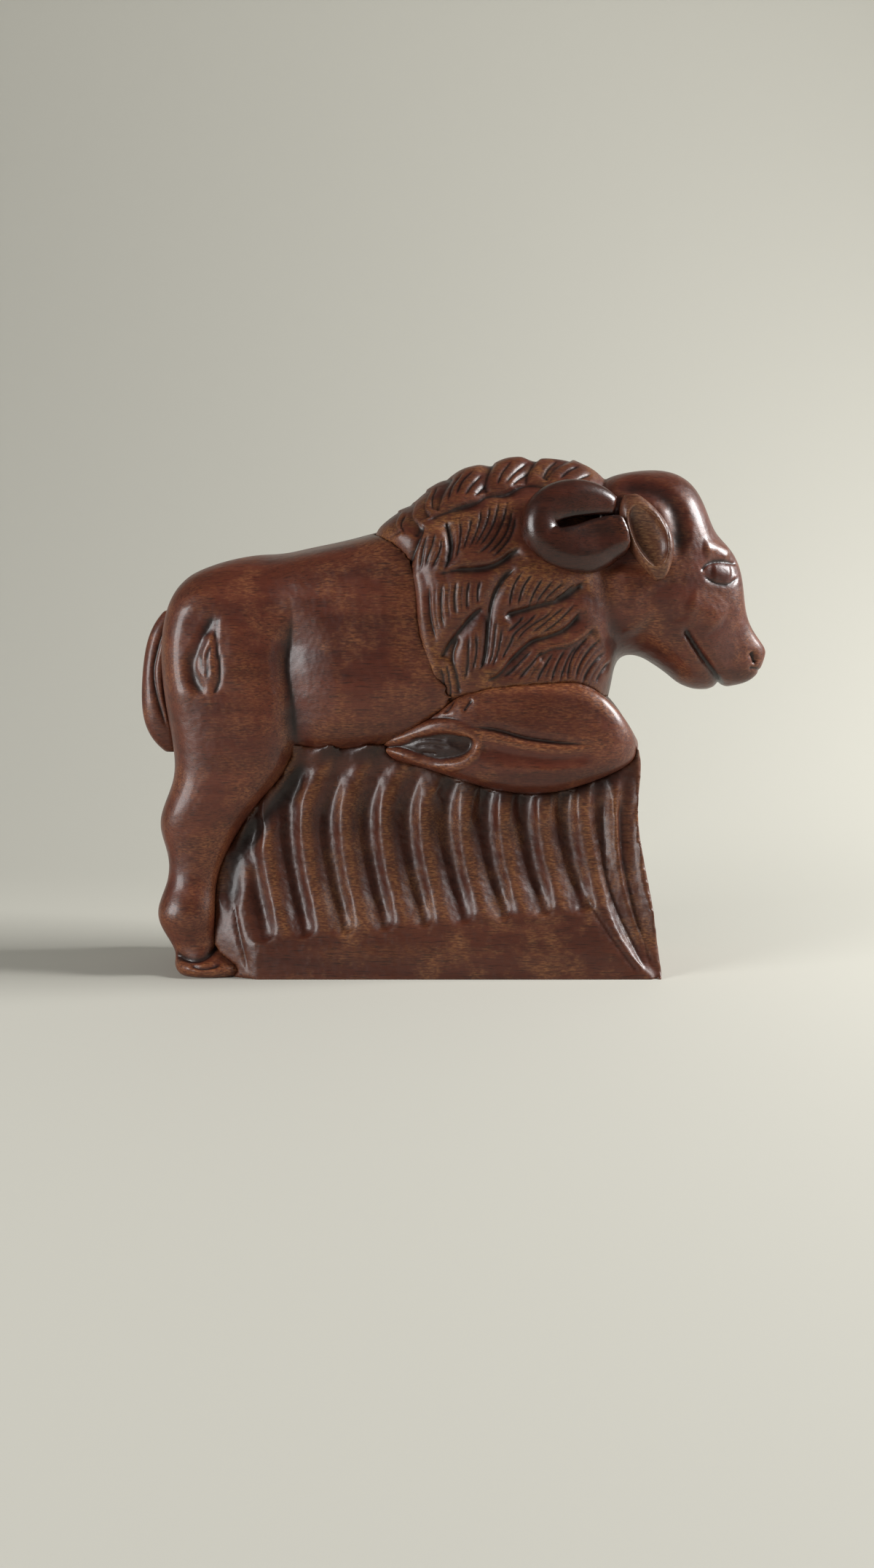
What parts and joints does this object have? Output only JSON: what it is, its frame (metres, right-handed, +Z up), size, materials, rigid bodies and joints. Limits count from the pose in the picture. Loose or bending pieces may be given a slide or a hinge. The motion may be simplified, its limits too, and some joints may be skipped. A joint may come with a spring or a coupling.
{
  "type": "sheep figurine",
  "caption": "Carved hardwood ram with curled horns and folded forelegs, standing behind and lying in front on a fluted rock base; a free-standing shelf ornament",
  "frame": {"origin": "the middle of the rock base's flat sole, on the surface that it stands on", "axes": "+X towards the ram's head, -Y towards the viewer, which is the ram's right side, +Z up"},
  "size_m": [0.2093, 0.0624, 0.1698],
  "materials": {
    "carved_wood": "red-brown stained hardwood, hand carved, semi-gloss varnish",
    "rock_wood": "red-brown stained hardwood, gouged flutes, semi-gloss varnish",
    "horn_wood": "dark stained hardwood, rubbed glossy",
    "dowel_wood": "bare pale hardwood dowel, glued in"
  },
  "bodies": {
    "root": {"base": "rock_wood", "trunk": "carved_wood", "right_hindquarter": "carved_wood", "left_hindquarter": "carved_wood", "right_foreleg": "carved_wood", "left_foreleg": "carved_wood", "fleece": "carved_wood", "head": "carved_wood", "right_horn": "horn_wood", "left_horn": "horn_wood", "right_ear": "carved_wood", "left_ear": "carved_wood", "tail": "carved_wood", "base_dowels": "dowel_wood", "foreleg_dowels": "dowel_wood", "rump_dowels": "dowel_wood", "haunch_dowels": "dowel_wood", "hock_dowels": "dowel_wood", "neck_dowels": "dowel_wood", "head_dowels": "dowel_wood", "horn_pegs": "dowel_wood", "tail_peg": "dowel_wood"}
  },
  "joints": []
}
